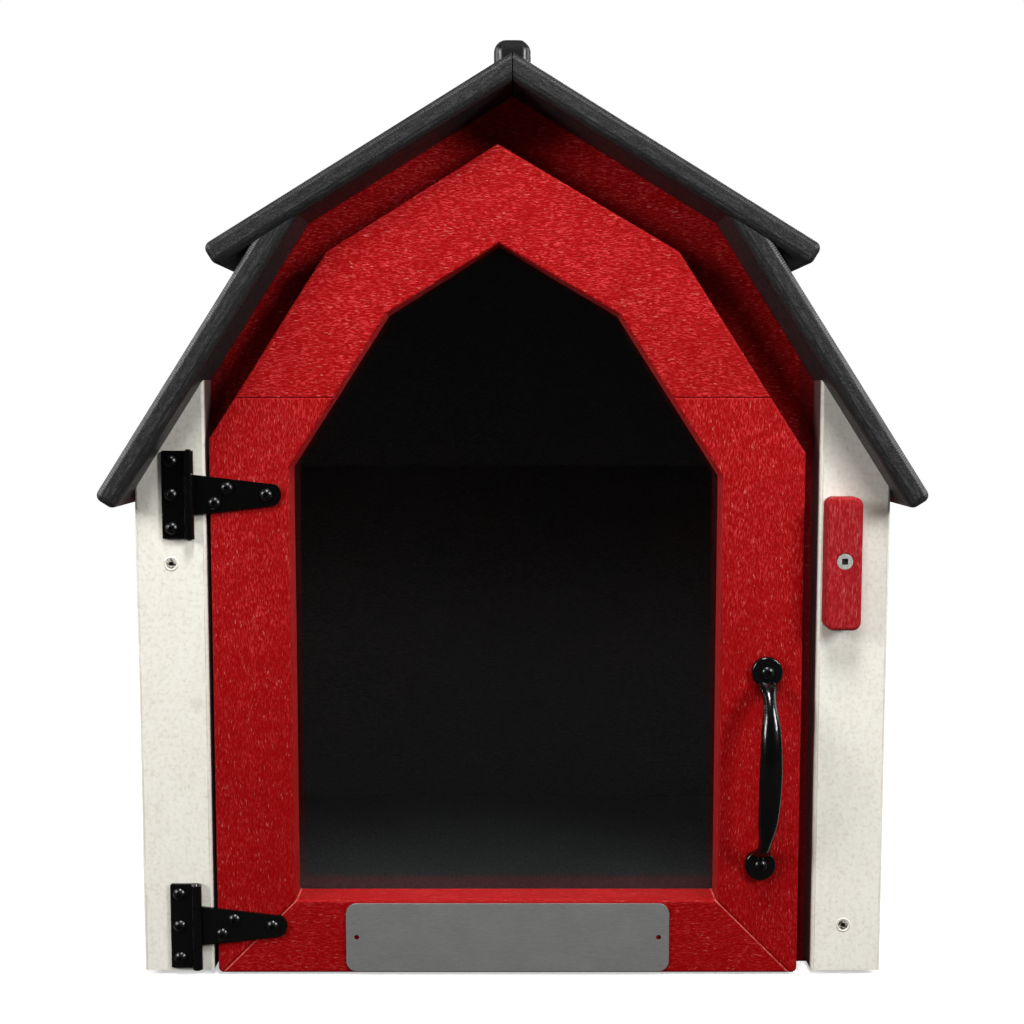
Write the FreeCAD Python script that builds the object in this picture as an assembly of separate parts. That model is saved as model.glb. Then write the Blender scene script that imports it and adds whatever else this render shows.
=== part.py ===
import FreeCAD, Part

import math
import os

# A barn-shaped street book exchange box of recycled-plastic boards, in millimetres.
# Seen by someone who stands in front of the door, +X is right, +Y is away and +Z is up.
# The origin is the centre of the underside of the box.

V = FreeCAD.Vector
LEFT = -1
RIGHT = 1
AWAY = V(0, 1, 0)

# Box
box_width = 406.4
box_depth = 290.0
wall_thickness = 12.7
floor_thickness = 12.7
gable_thickness = 12.7

# Roof: its underside rises from the side walls to a knee, and more gently from there to the ridge
ridge_height = 480.0
ridge_joint_gap = 0.5
knee_inset = 92.6
upper_slope = 31.4
lower_slope = 57.2
roof_thickness = 12.7
knee_overhang = 50.0
eave_overhang = 16.8
front_overhang = 38.0
back_overhang = 22.0
plank_edge_radius = 4.0
ridge_bar_width = 19.3
ridge_bar_side = 13.1
ridge_bar_edge_radius = 6.3
ridge_bar_setback = 4.0

# Room round the pane in the opening of the front frame
frame_opening_gap = 5.0

# Corner posts
post_width = 38.1
post_lift = 3.0
post_edge_radius = 1.8
left_post_screw_inset = 19.1
left_post_screw_drop = 39.6
right_post_screw_inset = 20.9
right_post_screw_height = 25.7

# Door: its arch runs below the roof and is cut a little off centre
door_thickness = 18.5
door_limb = 44.45
hinge_stile_width = 42.8
door_rail_height = 41.0
door_shoulder_inset = 16.9
door_shoulder_drop = 17.1
door_apex_drop = 28.4
door_arch_shift = -2.4
door_apex_shift = -2.7
door_joint_drop = 77.0
door_lift = 1.5
door_hinge_gap = 2.4
door_latch_gap = 7.9
door_back_gap = 0.8
door_proud = 0.25
door_edge_radius = 1.5
door_corner_radius = 3.0
window_edge_radius = 1.2
joint_groove = 0.5

# Pane
pane_thickness = 3.0
pane_lap = 12.0
pane_screw_inset = 6.0

# T-hinges
hinge_names = ("upper", "lower")
upper_hinge_roof_gap = 2.1
lower_hinge_foot_gap = 2.0
hinge_axis_inset = 8.1
knuckle_radius = 2.75
knuckle_post_gap = 0.3
knuckle_end_gap = 0.3
hinge_pin_radius = 1.25
hinge_pin_clearance = 0.05
hinge_pin_head_radius = 1.9
hinge_pin_head_taper = 0.6
hinge_pin_head_height = 0.8
leaf_thickness = 1.6
leaf_width = 14.8
leaf_height = 47.4
leaf_corner_radius = 1.0
leaf_screw_inset = 5.0
leaf_screw_spacing = 18.0
strap_thickness = 1.6
strap_root_height = 22.8
strap_tip_height = 11.2
strap_tip_bulge = 3.1
strap_reach = 49.2
strap_screw_places = [(13.4, -4.5), (20.2, 3.6), (41.2, 0.0)]

# Turn-button, which stands upright while the door is free to open
button_long_arm = 37.2
button_short_arm = 34.0
button_width = 19.0
button_thickness = 12.7
button_door_gap = 0.4
button_pivot_inset = 10.9
button_eave_drop = 36.8
button_edge_radius = 2.2
button_corner_radius = 4.5

# Pull handle
pull_spacing = 107.1
pull_disc_radius = 8.4
pull_disc_thickness = 3.2
pull_edge_inset = 20.4
pull_middle_height = 115.35
pull_tilt = 1.2
pull_projection = 26.0
pull_grip_width = 12.2
pull_grip_depth = 7.6
pull_neck_angle = 56.0
pull_neck_width = 7.0
pull_neck_depth = 5.6
pull_root_angle = 86.0
pull_root_width = 10.8
pull_root_inset = 6.6
pull_root_height = 1.0
pull_disc_edge_radius = 1.2

# Name plate
plate_width = 177.8
plate_height = 38.1
plate_thickness = 1.2
plate_foot_gap = 1.5
plate_corner_radius = 5.7
plate_hole_radius = 1.5
plate_hole_inset = 5.7

# Screws: head radius, head height, shank radius, length under the head, side of the square drive
HINGE_SCREW = (3.3, 2.1, 1.9, 26.0, 2.3)
STRAP_SCREW = (3.3, 2.1, 1.9, 13.0, 2.3)
POST_SCREW = (2.6, 1.5, 1.6, 28.0, 2.2)
PULL_SCREW = (3.3, 1.9, 2.0, 15.0, 2.4)
PANE_SCREW = (3.4, 1.7, 1.5, 9.0, 2.0)
ROOF_SCREW = (4.3, 2.4, 2.2, 32.0, 2.7)
BOARD_SCREW = (4.2, 2.4, 2.1, 38.0, 2.7)
JOINT_SCREW = (3.4, 1.8, 2.0, 38.0, 2.4)
BUTTON_SCREW = (4.2, 2.6, 2.3, 38.0, 3.3)
screw_fit = 0.05
screw_point = 3.5
screw_tip_share = 0.15
pan_rim_share = 0.35
pan_shoulder = (0.62, 0.86)
drive_depth = 1.2
button_hole_clearance = 0.08
button_cone_clearance = 0.3
board_screw_inset = 40.0
ridge_screw_length = 40.0
pocket_tilt = 15.0
pocket_reach = 20.0
pocket_radius = 4.8
joint_screw_places = (9.0, 22.5)
corner_screw_places = (8.0, 17.0)
roof_screw_places = (40.0, 108.0)
eave_screw_places = (42.0, 142.0)
cut_overrun = 1.0

# Places that follow from the sizes above
half_box = box_width / 2
knee_half_width = half_box - knee_inset
frame_front = -box_depth / 2
frame_back = frame_front + gable_thickness
back_front = box_depth / 2 - gable_thickness
roof_front = frame_front - front_overhang
roof_length = front_overhang + box_depth + back_overhang
upper_fall = math.tan(math.radians(upper_slope))
lower_fall = math.tan(math.radians(lower_slope))
knee_height = ridge_height - knee_half_width * upper_fall
door_back = frame_front - door_back_gap
door_front = door_back - door_thickness
post_front = door_front + door_proud
post_inner = half_box - post_width
door_left = -post_inner + door_hinge_gap
door_right = post_inner - door_latch_gap
door_middle = (door_left + door_right) / 2
shoulder_height = knee_height - door_shoulder_drop
door_joint_height = shoulder_height - door_joint_drop
door_apex_height = ridge_height - door_apex_drop
hinge_x = -post_inner - hinge_axis_inset
hinge_y = post_front - knuckle_post_gap - knuckle_radius
button_x = post_inner + button_pivot_inset
button_back = door_front - button_door_gap
button_front = button_back - button_thickness


def roof_underside(x):
    """Height of the underside of the roof at x."""
    side = abs(x)
    if side <= knee_half_width:
        return ridge_height - side * upper_fall
    return knee_height - (side - knee_half_width) * lower_fall


def mirrored(points, side):
    """Outline of (x, z) points for the right side of the box, or its mirror image for the left."""
    return [(side * x, z) for x, z in points]


def slab(points, front, thickness):
    """Board cut to an outline of (x, z) points, from its front face towards the back."""
    corners = [V(x, front, z) for x, z in points]
    face = Part.Face(Part.makePolygon(corners + corners[:1]))
    return face.extrude(AWAY * thickness)


def cutter(points, front, thickness):
    """Slab for cutting an opening, a little thicker than the board on both sides."""
    return slab(points, front - cut_overrun, thickness + 2 * cut_overrun)


def block(low, high):
    """Box between two opposite corners."""
    size = high - low
    return Part.makeBox(size.x, size.y, size.z, low)


def rod(start, direction, radius, length):
    """Round bar from a point along a direction."""
    return Part.makeCylinder(radius, length, start, direction)


def inset(points, distances):
    """Outline inside a convex one listed anticlockwise, each side moved in by its own distance."""
    sides = []
    for (x0, z0), (x1, z1), distance in zip(points, points[1:] + points[:1], distances):
        length = math.hypot(x1 - x0, z1 - z0)
        along = ((x1 - x0) / length, (z1 - z0) / length)
        sides.append(((x0 - along[1] * distance, z0 + along[0] * distance), along))
    moved = []
    for (point_a, along_a), (point_b, along_b) in zip(sides[-1:] + sides[:-1], sides):
        cross = along_a[0] * along_b[1] - along_a[1] * along_b[0]
        gap = (point_b[0] - point_a[0], point_b[1] - point_a[1])
        step = (gap[0] * along_b[1] - gap[1] * along_b[0]) / cross
        moved.append((point_a[0] + along_a[0] * step, point_a[1] + along_a[1] * step))
    return moved


def rounded(shape, radius, wanted):
    """Shape with the edges that the test picks rounded."""
    return shape.makeFillet(radius, [edge for edge in shape.Edges if wanted(edge)])


def lies_in(edge, y):
    """Whether an edge lies in the upright plane at y."""
    return all(abs(vertex.Point.y - y) < 0.001 for vertex in edge.Vertexes)


def runs_along(edge, direction):
    """Whether a straight edge runs along a direction."""
    if len(edge.Vertexes) != 2:
        return False
    line = edge.Vertexes[1].Point - edge.Vertexes[0].Point
    return line.cross(direction).Length < 0.001


def set_at(shape, place, direction):
    """Copy of a shape made at the origin to point along +Y, set at a place to point along a direction."""
    shape = shape.copy()
    shape.Placement = FreeCAD.Placement(place, FreeCAD.Rotation(AWAY, direction)).multiply(shape.Placement)
    return shape


def drive_socket(side, face):
    """Square socket for the driver, sunk from a head's face."""
    half = side / 2
    return block(V(-half, face - cut_overrun, -half), V(half, face + drive_depth, half))


def shank(radius, length):
    """Plain shank with a point, along +Y."""
    straight = Part.makeCylinder(radius, length - screw_point, V(0, 0, 0), AWAY)
    tip = Part.makeCone(radius, radius * screw_tip_share, screw_point, V(0, length - screw_point, 0), AWAY)
    return straight.fuse(tip)


def pan_screw(sizes):
    """Round-headed screw with its head in front of the origin and its shank along +Y."""
    head_radius, head_height, shank_radius, length, drive = sizes
    rim = head_height * pan_rim_share
    side = Part.LineSegment(V(head_radius, 0, 0), V(head_radius, -rim, 0))
    crown = Part.Arc(
        V(head_radius, -rim, 0),
        V(head_radius * pan_shoulder[0], -head_height * pan_shoulder[1], 0),
        V(0, -head_height, 0),
    )
    middle = Part.LineSegment(V(0, -head_height, 0), V(0, 0, 0))
    under = Part.LineSegment(V(0, 0, 0), V(head_radius, 0, 0))
    profile = Part.Wire([side.toShape(), crown.toShape(), middle.toShape(), under.toShape()])
    head = Part.Face(profile).revolve(V(0, 0, 0), AWAY, 360)
    whole = head.fuse(shank(shank_radius, length))
    return whole.cut(drive_socket(drive, -head_height)).removeSplitter()


def flat_screw(sizes):
    """Countersunk screw with the face of its head at the origin and its shank along +Y."""
    head_radius, head_height, shank_radius, length, drive = sizes
    head = Part.makeCone(head_radius, shank_radius, head_height, V(0, 0, 0), AWAY)
    whole = head.fuse(shank(shank_radius, length))
    return whole.cut(drive_socket(drive, 0)).removeSplitter()


def pan_hole(sizes):
    """Space that a round-headed screw's shank needs."""
    return Part.makeCylinder(sizes[2] + screw_fit, sizes[3] + screw_fit, V(0, 0, 0), AWAY)


def flat_hole(sizes):
    """Space that a countersunk screw needs."""
    head_radius, head_height, shank_radius, length, drive = sizes
    mouth = Part.makeCone(head_radius + screw_fit, shank_radius + screw_fit, head_height, V(0, 0, 0), AWAY)
    return mouth.fuse(Part.makeCylinder(shank_radius + screw_fit, length + screw_fit, V(0, 0, 0), AWAY))


def placed(shape, places):
    """Copies of a shape, one for each place and direction."""
    return [set_at(shape, place, direction) for place, direction in places]


def drilled(shape, tools):
    """Shape with every tool that reaches it cut out."""
    reaching = [tool for tool in tools if shape.BoundBox.intersect(tool.BoundBox)]
    return shape.cut(reaching).removeSplitter() if reaching else shape


def group(solids):
    """Separate solids kept together."""
    return Part.makeCompound(solids)


# Outlines


def gable_outline():
    """Gambrel outline of the two gables, anticlockwise from the bottom left corner."""
    eave = roof_underside(half_box)
    return [
        (-half_box, 0),
        (half_box, 0),
        (half_box, eave),
        (knee_half_width, knee_height),
        (0, ridge_height),
        (-knee_half_width, knee_height),
        (-half_box, eave),
    ]


def door_outline():
    """Outside of the door, anticlockwise from the bottom left corner."""
    arch = door_middle + door_arch_shift
    left = arch - knee_half_width + door_shoulder_inset
    right = arch + knee_half_width - door_shoulder_inset
    return [
        (door_left, door_lift),
        (door_right, door_lift),
        (door_right, shoulder_height - (door_right - right) * lower_fall),
        (right, shoulder_height),
        (arch + door_apex_shift, door_apex_height),
        (left, shoulder_height),
        (door_left, shoulder_height - (left - door_left) * lower_fall),
    ]


def window_outline():
    """Window in the door."""
    return inset(door_outline(), [door_rail_height] + [door_limb] * 5 + [hinge_stile_width])


def pane_outline(lap):
    """Outline that laps the door all round the window."""
    return inset(window_outline(), [-lap] * 7)


# Screw places, each a point at the head and the direction of the shank


def board_places(y, direction):
    """Screws through a gable into the ends of the side walls and the floor."""
    wall_x = half_box - wall_thickness / 2
    top = roof_underside(half_box) - board_screw_inset
    heights = [board_screw_inset, (board_screw_inset + top) / 2, top]
    places = [(V(side * wall_x, y, z), direction) for side in (LEFT, RIGHT) for z in heights]
    floor_x = post_inner - board_screw_inset
    return places + [(V(x, y, floor_thickness / 2), direction) for x in (-floor_x, 0, floor_x)]


def floor_places():
    """Screws through the side walls into the edges of the floor."""
    reach = box_depth / 2 - gable_thickness - board_screw_inset
    return [
        (V(side * half_box, y, floor_thickness / 2), V(-side, 0, 0))
        for side in (LEFT, RIGHT)
        for y in (-reach, 0, reach)
    ]


def plank_places(side, start, slope, distances):
    """Screws through a plank's outer face into the gables, at distances down its slope."""
    angle = math.radians(slope)
    down = V(side * math.cos(angle), 0, -math.sin(angle))
    outward = V(side * math.sin(angle), 0, math.cos(angle))
    gables = (frame_front + gable_thickness / 2, back_front + gable_thickness / 2)
    return [
        (V(start[0], y, start[1]) + down * distance + outward * roof_thickness, -outward)
        for y in gables
        for distance in distances
    ]


def roof_places(side):
    """Screws of the two planks on one side."""
    upper = plank_places(side, (0, ridge_height), upper_slope, roof_screw_places)
    lower = plank_places(side, (side * knee_half_width, knee_height), lower_slope, eave_screw_places)
    return upper + lower


def ridge_bar_top():
    """Height of the top of the ridge bar."""
    crown = ridge_height + roof_thickness / math.cos(math.radians(upper_slope))
    return crown - ridge_bar_width / 2 * upper_fall + ridge_bar_side


def ridge_bar_places():
    """Screws down through the ridge bar into the gables."""
    gables = (frame_front + gable_thickness / 2, back_front + gable_thickness / 2)
    return [(V(0, y, ridge_bar_top()), V(0, 0, -1)) for y in gables]


def hinge_middle(name):
    """Height of the middle of a hinge, the upper one just below the roof and the lower one at the foot."""
    if name == "upper":
        return roof_underside(hinge_x - leaf_width) - upper_hinge_roof_gap - leaf_height / 2
    return post_lift + lower_hinge_foot_gap + leaf_height / 2


def leaf_places():
    """Screws through the hinge leaves into the left post."""
    x = hinge_x - leaf_width + leaf_screw_inset
    return [
        (V(x, post_front - leaf_thickness, hinge_middle(name) + step * leaf_screw_spacing), AWAY)
        for name in hinge_names
        for step in (-1, 0, 1)
    ]


def strap_places():
    """Screws through the hinge straps into the door."""
    return [
        (V(hinge_x + x, door_front - strap_thickness, hinge_middle(name) + z), AWAY)
        for name in hinge_names
        for x, z in strap_screw_places
    ]


def post_places():
    """The screw in each post that nothing covers, near the eave on the left and the foot on the right."""
    left = V(left_post_screw_inset - half_box, post_front, roof_underside(half_box) - left_post_screw_drop)
    right = V(half_box - right_post_screw_inset, post_front, post_lift + right_post_screw_height)
    return [(left, AWAY), (right, AWAY)]


def pull_end(step):
    """Centre of one end of the pull handle, on the door's face."""
    angle = math.radians(pull_tilt)
    along = V(math.sin(angle), 0, math.cos(angle))
    middle = V(door_right - pull_edge_inset, door_front, door_lift + pull_middle_height)
    return middle + along * (step * pull_spacing / 2)


def pull_places():
    """Screws through the ends of the pull handle into the door."""
    return [(pull_end(step) - AWAY * pull_disc_thickness, AWAY) for step in (-1, 1)]


def between(a, b, share):
    """Point on the way from one (x, z) point to another."""
    return (a[0] + (b[0] - a[0]) * share, a[1] + (b[1] - a[1]) * share)


def pane_places():
    """Screws through the pane's margin into the back of the door."""
    ring = pane_outline(pane_screw_inset)
    counts = [3, 3, 2, 2, 2, 2, 3]
    places = []
    for start, end, count in zip(ring, ring[1:] + ring[:1], counts):
        for step in range(count):
            x, z = between(start, end, (step + 0.5) / count)
            places.append((V(x, door_back + pane_thickness, z), V(0, -1, 0)))
    return places


def pocket_places():
    """Slanted screws from the back of each stile up into the arch, with the seat of the head."""
    tilt = math.radians(pocket_tilt)
    outline = door_outline()
    places = []
    for low, high in ((outline[6], outline[5]), (outline[2], outline[3])):
        share = (door_joint_height - low[1]) / (high[1] - low[1])
        edge_x, joint_z = between(low, high, share)
        length = math.hypot(high[0] - low[0], high[1] - low[1])
        limb = V((high[0] - low[0]) / length, 0, (high[1] - low[1]) / length)
        inward = math.copysign(1, limb.x)
        direction = limb * math.cos(tilt) - AWAY * math.sin(tilt)
        for offset in joint_screw_places:
            crossing = V(edge_x + inward * offset / limb.z, door_back - door_thickness / 2, joint_z)
            places.append((crossing - direction * pocket_reach, direction))
    return places


def corner_places():
    """Screws through the outer edges of the stiles into the ends of the bottom rail."""
    middle = door_back - door_thickness / 2
    return [
        (V(x, middle, door_lift + z), V(inward, 0, 0))
        for x, inward in ((door_left, 1), (door_right, -1))
        for z in corner_screw_places
    ]


# Box pieces


def floor_panel():
    """Board that the books stand on."""
    inner = half_box - wall_thickness
    panel = block(V(-inner, frame_back, 0), V(inner, back_front, floor_thickness))
    return drilled(panel, board_holes() + floor_holes())


def side_wall(side):
    """Wall with its top edge cut to the slope of the roof."""
    inner = half_box - wall_thickness
    outline = [
        (inner, 0),
        (half_box, 0),
        (half_box, roof_underside(half_box)),
        (inner, roof_underside(inner)),
    ]
    wall = slab(mirrored(outline, side), frame_back, back_front - frame_back)
    return drilled(wall, board_holes() + floor_holes())


def back_panel():
    """Gable that closes the back."""
    panel = slab(gable_outline(), back_front, gable_thickness)
    return drilled(panel, board_holes() + roof_holes())


def front_frame():
    """Gable with the opening that the door closes."""
    panel = slab(gable_outline(), frame_front, gable_thickness)
    panel = panel.cut(cutter(pane_outline(pane_lap + frame_opening_gap), frame_front, gable_thickness))
    return drilled(panel, board_holes() + roof_holes() + front_holes())


def corner_post(side):
    """Corner board beside the door, cut to the slope of the roof at its top."""
    outline = [
        (post_inner, post_lift),
        (half_box, post_lift),
        (half_box, roof_underside(half_box)),
        (post_inner, roof_underside(post_inner)),
    ]
    post = slab(mirrored(outline, side), post_front, frame_front - post_front)

    def upright_front(edge):
        return lies_in(edge, post_front) and runs_along(edge, V(0, 0, 1))

    post = rounded(post, post_edge_radius, upright_front)
    return drilled(post, front_holes())


def front_holes():
    """Screw holes in the posts and in the front frame behind them."""
    holes = placed(pan_hole(HINGE_SCREW), leaf_places())
    holes += placed(flat_hole(POST_SCREW), post_places())
    return holes + placed(pan_hole(BUTTON_SCREW), button_places())


def board_holes():
    """Screw holes of both gables."""
    front = placed(flat_hole(BOARD_SCREW), board_places(frame_front, AWAY))
    return front + placed(flat_hole(BOARD_SCREW), board_places(box_depth / 2, V(0, -1, 0)))


def floor_holes():
    """Screw holes in the side walls and the edges of the floor."""
    return placed(flat_hole(BOARD_SCREW), floor_places())


def roof_holes():
    """Screw holes of the planks and the ridge bar."""
    holes = placed(pan_hole(ROOF_SCREW), roof_places(LEFT) + roof_places(RIGHT))
    return holes + placed(flat_hole(ridge_screw()), ridge_bar_places())


def ridge_screw():
    """Sizes of the longer screws in the ridge bar."""
    return ROOF_SCREW[:3] + (ridge_screw_length,) + ROOF_SCREW[4:]


def plank(outline, side, square_end):
    """Roof plank with its ends and its outer edge rounded; square_end is where it meets another."""
    board = slab(mirrored(outline, side), roof_front, roof_length)
    back = roof_front + roof_length

    def exposed(edge):
        if runs_along(edge, AWAY):
            return not square_end(abs(edge.CenterOfMass.x), edge.CenterOfMass.z)
        points = [vertex.Point for vertex in edge.Vertexes]
        if all(square_end(abs(point.x), point.z) for point in points):
            return False
        return lies_in(edge, roof_front) or lies_in(edge, back)

    return drilled(rounded(board, plank_edge_radius, exposed), roof_holes())


def upper_roof_plank(side):
    """Plank from the ridge, where it is mitred, to past the knee."""
    angle = math.radians(upper_slope)
    crown = ridge_height + roof_thickness / math.cos(angle)
    end_x = knee_half_width + knee_overhang
    end = (end_x, crown - end_x * upper_fall)
    under = (end[0] - roof_thickness * math.sin(angle), end[1] - roof_thickness * math.cos(angle))
    joint = ridge_joint_gap / 2
    drop = joint * upper_fall
    outline = [(joint, ridge_height - drop), under, end, (joint, crown - drop)]
    return plank(outline, side, lambda x, z: x < joint + 0.001)


def lower_roof_plank(side):
    """Steep plank from under the upper one to the eave."""
    upper = math.radians(upper_slope)
    lower = math.radians(lower_slope)
    lap = roof_thickness / math.sin(lower - upper)
    meeting = (knee_half_width + lap * math.cos(upper), knee_height - lap * math.sin(upper))
    tip_x = half_box + eave_overhang
    tip = (tip_x, meeting[1] - (tip_x - meeting[0]) * lower_fall)
    under = (tip[0] - roof_thickness * math.sin(lower), tip[1] - roof_thickness * math.cos(lower))
    outline = [(knee_half_width, knee_height), under, tip, meeting]
    return plank(outline, side, lambda x, z: x < meeting[0] + 0.001)


def ridge_bar():
    """Bar over the ridge joint, notched underneath to sit on both planks."""
    half = ridge_bar_width / 2
    top = ridge_bar_top()
    crown = ridge_height + roof_thickness / math.cos(math.radians(upper_slope))
    shoulder = top - ridge_bar_side
    outline = [(-half, shoulder), (0, crown), (half, shoulder), (half, top), (-half, top)]
    front = roof_front + ridge_bar_setback
    length = roof_length - 2 * ridge_bar_setback
    bar = slab(outline, front, length)

    def exposed(edge):
        return edge.BoundBox.ZMax > top - 0.001

    return drilled(rounded(bar, ridge_bar_edge_radius, exposed), roof_holes())


# Hinges


def knuckle(bottom, top):
    """Piece of a hinge barrel, bored for the pin."""
    height = top - bottom
    bore_radius = hinge_pin_radius + hinge_pin_clearance
    barrel = rod(V(hinge_x, hinge_y, bottom), V(0, 0, 1), knuckle_radius, height)
    below = V(hinge_x, hinge_y, bottom - cut_overrun)
    bore = rod(below, V(0, 0, 1), bore_radius, height + 2 * cut_overrun)
    return barrel, bore


def hinge_leaf(name):
    """Upright leaf on the post, with the knuckles above and below the strap's."""
    middle = hinge_middle(name)
    low = middle - leaf_height / 2
    high = middle + leaf_height / 2
    back = post_front
    front = back - leaf_thickness
    plate = block(V(hinge_x - leaf_width, front, low), V(hinge_x, back, high))

    def outer_corner(edge):
        return runs_along(edge, AWAY) and edge.CenterOfMass.x < hinge_x - leaf_width / 2

    plate = rounded(plate, leaf_corner_radius, outer_corner)
    clear = knuckle_radius + knuckle_end_gap
    half = strap_root_height / 2
    notch_low = V(hinge_x - clear, front - cut_overrun, middle - half)
    notch_high = V(hinge_x + cut_overrun, back + cut_overrun, middle + half)
    notch = block(notch_low, notch_high)
    lower_barrel, lower_bore = knuckle(low, middle - half)
    upper_barrel, upper_bore = knuckle(middle + half, high)
    leaf = plate.cut(notch).fuse([lower_barrel, upper_barrel])
    leaf = leaf.cut([lower_bore, upper_bore])
    return drilled(leaf, placed(pan_hole(HINGE_SCREW), leaf_places()))


def hinge_strap(name):
    """Tapered strap on the door, with the middle knuckle."""
    middle = hinge_middle(name)
    half = strap_root_height / 2 - knuckle_end_gap
    tip = strap_tip_height / 2
    end = V(hinge_x + strap_reach, door_front - strap_thickness, middle)
    root = V(hinge_x, end.y, middle + half)
    upper = V(end.x - strap_tip_bulge, end.y, middle + tip)
    lower = V(upper.x, end.y, middle - tip)
    foot = V(hinge_x, end.y, middle - half)
    edges = [
        Part.LineSegment(foot, root).toShape(),
        Part.LineSegment(root, upper).toShape(),
        Part.Arc(upper, end, lower).toShape(),
        Part.LineSegment(lower, foot).toShape(),
    ]
    plate = Part.Face(Part.Wire(edges)).extrude(AWAY * strap_thickness)
    barrel, bore = knuckle(middle - half, middle + half)
    strap = plate.fuse(barrel).cut(bore)
    return drilled(strap, placed(pan_hole(STRAP_SCREW), strap_places()))


def hinge_pin(name):
    """Pin through the three knuckles, with a low head at each end."""
    middle = hinge_middle(name)
    low = middle - leaf_height / 2
    pin = rod(V(hinge_x, hinge_y, low), V(0, 0, 1), hinge_pin_radius, leaf_height)
    heads = []
    for end, upward in ((low, -1), (low + leaf_height, 1)):
        head = Part.makeCone(
            hinge_pin_head_radius,
            hinge_pin_head_radius * hinge_pin_head_taper,
            hinge_pin_head_height,
            V(hinge_x, hinge_y, end),
            V(0, 0, upward),
        )
        heads.append(head)
    return pin.fuse(heads).removeSplitter()


# Turn-button


def button_height():
    """Height of the screw that the turn-button turns on."""
    return roof_underside(half_box) - button_eave_drop


def button_places():
    """Where the turn-button's screw goes in."""
    return [(V(button_x, button_front, button_height()), AWAY)]


def turn_button():
    """Rounded bar that turns on one screw, with its longer arm down."""
    half = button_width / 2
    low = V(button_x - half, button_front, button_height() - button_long_arm)
    high = V(button_x + half, button_back, button_height() + button_short_arm)
    bar = block(low, high)

    def corner(edge):
        return runs_along(edge, AWAY)

    bar = rounded(bar, button_corner_radius, corner)

    def rim(edge):
        return lies_in(edge, button_front) or lies_in(edge, button_back)

    bar = rounded(bar, button_edge_radius, rim)
    head_radius, head_height, shank_radius, length, drive = BUTTON_SCREW
    hole_radius = shank_radius + button_hole_clearance
    wide = button_cone_clearance
    hole = rod(V(0, -cut_overrun, 0), AWAY, hole_radius, button_thickness + 2 * cut_overrun)
    cone = Part.makeCone(head_radius + wide, shank_radius + wide, head_height, V(0, 0, 0), AWAY)
    return bar.cut([set_at(tool, place, way) for tool in (hole, cone) for place, way in button_places()])


# Door pieces


def on_outline(edge, points, y):
    """Whether an edge lies on an outline of (x, z) points in the upright plane at y."""
    line = Part.makePolygon([V(x, y, z) for x, z in points + points[:1]])
    return lies_in(edge, y) and line.distToShape(Part.Vertex(edge.CenterOfMass))[0] < 0.001


def eased(ring):
    """The door's ring with its edges rounded, on the outside and at the front of the window."""
    window = window_outline()
    outline = door_outline()
    ring = rounded(ring, window_edge_radius, lambda edge: on_outline(edge, window, door_front))

    def on_outside(edge):
        return on_outline(edge, outline, door_front) or on_outline(edge, outline, door_back)

    return rounded(ring, door_edge_radius, on_outside)


def rail_region():
    """Outline that holds the bottom rail, with its ends mitred at 45 degrees."""
    left, right = window_outline()[:2]
    reach = door_rail_height
    return [(left[0] - reach, door_lift), (right[0] + reach, door_lift), right, left]


def region_slab(points):
    """Outline extruded past both faces of the door."""
    return cutter(points, door_front, door_thickness)


def groove(start, end):
    """Fine groove along a joint in the face of the door."""
    a = V(start[0], door_front, start[1])
    b = V(end[0], door_front, end[1])
    along = (b - a).normalize()
    across = along.cross(AWAY) * joint_groove
    over = AWAY * -joint_groove
    corners = [a - across * 2 + over, a + AWAY * joint_groove, a + across * 2 + over]
    corners = [corner - along * door_edge_radius * 2 for corner in corners]
    face = Part.Face(Part.makePolygon(corners + corners[:1]))
    return face.extrude(along * ((b - a).Length + 4 * door_edge_radius))


def joint_grooves():
    """Grooves along the four joints of the door."""
    foot_left, foot_right, right, left = rail_region()
    return [
        groove(foot_left, left),
        groove(foot_right, right),
        groove((door_left, door_joint_height), (door_right, door_joint_height)),
    ]


def door_tools():
    """Everything cut from the door's pieces after they are split."""
    tools = placed(pan_hole(STRAP_SCREW), strap_places())
    tools += placed(pan_hole(PULL_SCREW), pull_places())
    tools += placed(pan_hole(PANE_SCREW), pane_places())
    tools += placed(pan_hole(JOINT_SCREW), pocket_places())
    tools += placed(flat_hole(JOINT_SCREW), corner_places())
    pocket = rod(V(0, 0, 0), V(0, -1, 0), pocket_radius, pocket_reach)
    return tools + placed(pocket, pocket_places()) + joint_grooves()


def door_pieces():
    """The arch, both stiles and the bottom rail, with the door's lower corners rounded."""

    def lower_corner(edge):
        return runs_along(edge, AWAY) and abs(edge.CenterOfMass.z - door_lift) < 0.001

    ring = rounded(slab(door_outline(), door_front, door_thickness), door_corner_radius, lower_corner)
    ring = eased(ring.cut(cutter(window_outline(), door_front, door_thickness)))
    joint = door_joint_height
    top = ridge_height
    beyond = half_box
    rail = region_slab(rail_region())
    arch = region_slab([(-beyond, joint), (beyond, joint), (beyond, top), (-beyond, top)])
    left = region_slab([(-beyond, 0), (door_middle, 0), (door_middle, joint), (-beyond, joint)])
    right = region_slab([(door_middle, 0), (beyond, 0), (beyond, joint), (door_middle, joint)])
    tools = door_tools()
    return {
        "door_arch": drilled(ring.common(arch), tools),
        "left_door_stile": drilled(ring.common(left).cut(rail), tools),
        "right_door_stile": drilled(ring.common(right).cut(rail), tools),
        "bottom_door_rail": drilled(ring.common(rail), tools),
    }


def door_pane():
    """Clear sheet on the back of the door."""
    pane = slab(pane_outline(pane_lap), door_back, pane_thickness)
    return drilled(pane, placed(pan_hole(PANE_SCREW), pane_places()))


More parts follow.
